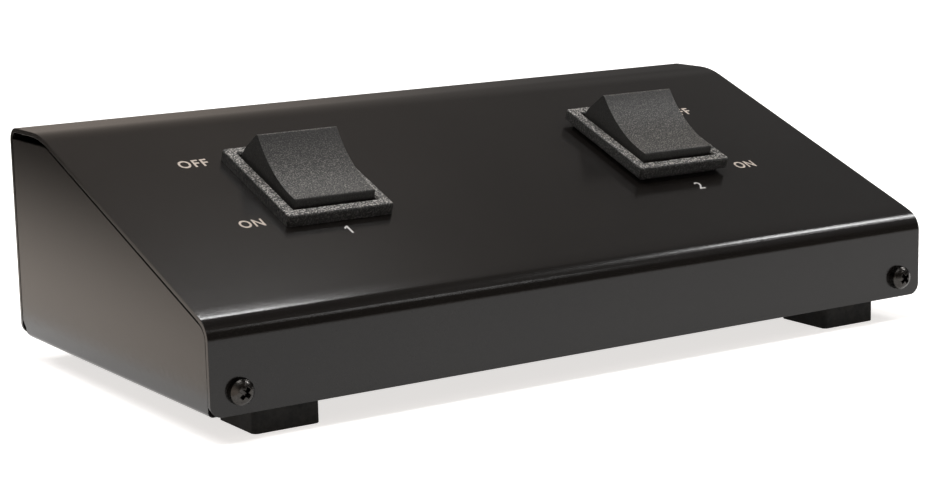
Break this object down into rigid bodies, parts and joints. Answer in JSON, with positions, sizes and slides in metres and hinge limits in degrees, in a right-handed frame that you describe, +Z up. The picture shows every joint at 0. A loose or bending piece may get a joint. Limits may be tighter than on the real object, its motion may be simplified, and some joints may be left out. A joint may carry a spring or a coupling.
{
  "type": "speaker selector switch",
  "caption": "Low wedge-fronted black steel switch box with side-by-side rocker switches on its slope, rubber feet and rear push-lever speaker terminals.",
  "frame": {"origin": "centre of the bounding box at the undersides of the feet, with the rear levers and the screw heads counted", "axes": "+X to the right seen from the front, +Y from the front panel to the rear, +Z up"},
  "size_m": [0.184, 0.101, 0.0526],
  "materials": {
    "case_paint": "satin black powder coat",
    "foot_rubber": "matte",
    "black_screw": "blackened steel",
    "switch_plastic": "grained",
    "rocker_plastic": "fine spark grain",
    "plunger_plastic": "natural nylon",
    "spring_steel": "drawn",
    "contact_brass": "bright",
    "block_plastic": "fine grain",
    "lever_red": "semi-gloss",
    "lever_black": "semi-gloss",
    "wire": "insulation"
  },
  "bodies": {
    "case": {"base_tray": "case_paint", "cover_screw_front_left": "black_screw", "cover_screw_front_right": "black_screw", "cover_screw_rear_left": "black_screw", "cover_screw_rear_right": "black_screw", "foot_front_left": "foot_rubber", "foot_front_right": "foot_rubber", "foot_rear_left": "foot_rubber", "foot_rear_right": "foot_rubber", "input_axle": "spring_steel", "input_block": "block_plastic", "input_contacts": "contact_brass", "input_screw_left": "black_screw", "input_screw_right": "black_screw", "input_wires": "wire", "link_wires": "wire", "output_1_axle": "spring_steel", "output_1_block": "block_plastic", "output_1_contacts": "contact_brass", "output_1_screw_left": "black_screw", "output_1_screw_right": "black_screw", "output_1_wires": "wire", "output_2_axle": "spring_steel", "output_2_block": "block_plastic", "output_2_contacts": "contact_brass", "output_2_screw_left": "black_screw", "output_2_screw_right": "black_screw", "output_2_wires": "wire", "return_wires": "wire", "switch_1_centre_blades": "contact_brass", "switch_1_end_blades": "contact_brass", "switch_1_housing": "switch_plastic", "switch_2_centre_blades": "contact_brass", "switch_2_end_blades": "contact_brass", "switch_2_housing": "switch_plastic", "top_cover": "case_paint"},
    "switch_1_paddle": {"switch_1_rocker": "rocker_plastic", "switch_1_plunger_springs": "spring_steel"},
    "switch_1_plunger_pair": {"switch_1_plungers": "plunger_plastic"},
    "switch_1_seesaw_pair": {"switch_1_seesaws": "contact_brass"},
    "switch_2_paddle": {"switch_2_rocker": "rocker_plastic", "switch_2_plunger_springs": "spring_steel"},
    "switch_2_plunger_pair": {"switch_2_plungers": "plunger_plastic"},
    "switch_2_seesaw_pair": {"switch_2_seesaws": "contact_brass"},
    "input_lever_1": {"input_lever_1": "lever_red"},
    "input_lever_2": {"input_lever_2": "lever_black"},
    "input_lever_3": {"input_lever_3": "lever_black"},
    "input_lever_4": {"input_lever_4": "lever_red"},
    "output_1_lever_1": {"output_1_lever_1": "lever_red"},
    "output_1_lever_2": {"output_1_lever_2": "lever_black"},
    "output_1_lever_3": {"output_1_lever_3": "lever_black"},
    "output_1_lever_4": {"output_1_lever_4": "lever_red"},
    "output_2_lever_1": {"output_2_lever_1": "lever_red"},
    "output_2_lever_2": {"output_2_lever_2": "lever_black"},
    "output_2_lever_3": {"output_2_lever_3": "lever_black"},
    "output_2_lever_4": {"output_2_lever_4": "lever_red"}
  },
  "joints": [
    {"name": "switch_1_rock", "type": "hinge", "parent": "case", "child": "switch_1_paddle", "pos_m": [-0.0455, -0.00408, 0.03918], "axis": [-1, 0, 0], "range_deg": [0, 34]},
    {"name": "switch_1_plunge", "type": "slide", "parent": "switch_1_paddle", "child": "switch_1_plunger_pair", "axis": [0, -0.6105, 0.7921], "range_m": [0, 0.0008], "stiffness_N_per_m": 400, "springref_m": -0.002, "deforming": ["switch_1_plunger_springs"]},
    {"name": "switch_1_contact_rock", "type": "hinge", "parent": "case", "child": "switch_1_seesaw_pair", "pos_m": [-0.0455, -0.00135, 0.03192], "axis": [1, 0, 0], "range_deg": [0, 12]},
    {"name": "switch_2_rock", "type": "hinge", "parent": "case", "child": "switch_2_paddle", "pos_m": [0.0448, -0.00535, 0.03998], "axis": [-1, 0, 0], "range_deg": [0, 34]},
    {"name": "switch_2_plunge", "type": "slide", "parent": "switch_2_paddle", "child": "switch_2_plunger_pair", "axis": [0, -0.6105, 0.7921], "range_m": [0, 0.0008], "stiffness_N_per_m": 400, "springref_m": -0.002, "deforming": ["switch_2_plunger_springs"]},
    {"name": "switch_2_contact_rock", "type": "hinge", "parent": "case", "child": "switch_2_seesaw_pair", "pos_m": [0.0448, -0.00262, 0.03273], "axis": [1, 0, 0], "range_deg": [0, 12]},
    {"name": "input_lever_1_press", "type": "hinge", "parent": "case", "child": "input_lever_1", "pos_m": [-0.0745, 0.04095, 0.0301], "axis": [1, 0, 0], "range_deg": [0, 18], "stiffness_Nm_per_rad": 0.06, "springref_deg": -14.32},
    {"name": "input_lever_2_press", "type": "hinge", "parent": "case", "child": "input_lever_2", "pos_m": [-0.0645, 0.04095, 0.0301], "axis": [1, 0, 0], "range_deg": [0, 18], "stiffness_Nm_per_rad": 0.06, "springref_deg": -14.32},
    {"name": "input_lever_3_press", "type": "hinge", "parent": "case", "child": "input_lever_3", "pos_m": [-0.0545, 0.04095, 0.0301], "axis": [1, 0, 0], "range_deg": [0, 18], "stiffness_Nm_per_rad": 0.06, "springref_deg": -14.32},
    {"name": "input_lever_4_press", "type": "hinge", "parent": "case", "child": "input_lever_4", "pos_m": [-0.0445, 0.04095, 0.0301], "axis": [1, 0, 0], "range_deg": [0, 18], "stiffness_Nm_per_rad": 0.06, "springref_deg": -14.32},
    {"name": "output_1_lever_1_press", "type": "hinge", "parent": "case", "child": "output_1_lever_1", "pos_m": [-0.015, 0.04095, 0.0301], "axis": [1, 0, 0], "range_deg": [0, 18], "stiffness_Nm_per_rad": 0.06, "springref_deg": -14.32},
    {"name": "output_1_lever_2_press", "type": "hinge", "parent": "case", "child": "output_1_lever_2", "pos_m": [-0.005, 0.04095, 0.0301], "axis": [1, 0, 0], "range_deg": [0, 18], "stiffness_Nm_per_rad": 0.06, "springref_deg": -14.32},
    {"name": "output_1_lever_3_press", "type": "hinge", "parent": "case", "child": "output_1_lever_3", "pos_m": [0.005, 0.04095, 0.0301], "axis": [1, 0, 0], "range_deg": [0, 18], "stiffness_Nm_per_rad": 0.06, "springref_deg": -14.32},
    {"name": "output_1_lever_4_press", "type": "hinge", "parent": "case", "child": "output_1_lever_4", "pos_m": [0.015, 0.04095, 0.0301], "axis": [1, 0, 0], "range_deg": [0, 18], "stiffness_Nm_per_rad": 0.06, "springref_deg": -14.32},
    {"name": "output_2_lever_1_press", "type": "hinge", "parent": "case", "child": "output_2_lever_1", "pos_m": [0.0445, 0.04095, 0.0301], "axis": [1, 0, 0], "range_deg": [0, 18], "stiffness_Nm_per_rad": 0.06, "springref_deg": -14.32},
    {"name": "output_2_lever_2_press", "type": "hinge", "parent": "case", "child": "output_2_lever_2", "pos_m": [0.0545, 0.04095, 0.0301], "axis": [1, 0, 0], "range_deg": [0, 18], "stiffness_Nm_per_rad": 0.06, "springref_deg": -14.32},
    {"name": "output_2_lever_3_press", "type": "hinge", "parent": "case", "child": "output_2_lever_3", "pos_m": [0.0645, 0.04095, 0.0301], "axis": [1, 0, 0], "range_deg": [0, 18], "stiffness_Nm_per_rad": 0.06, "springref_deg": -14.32},
    {"name": "output_2_lever_4_press", "type": "hinge", "parent": "case", "child": "output_2_lever_4", "pos_m": [0.0745, 0.04095, 0.0301], "axis": [1, 0, 0], "range_deg": [0, 18], "stiffness_Nm_per_rad": 0.06, "springref_deg": -14.32}
  ],
  "couplings": [
    {"joint": "switch_1_contact_rock", "follows": "switch_1_rock", "ratio": 0.35294},
    {"joint": "switch_2_contact_rock", "follows": "switch_2_rock", "ratio": 0.35294}
  ]
}
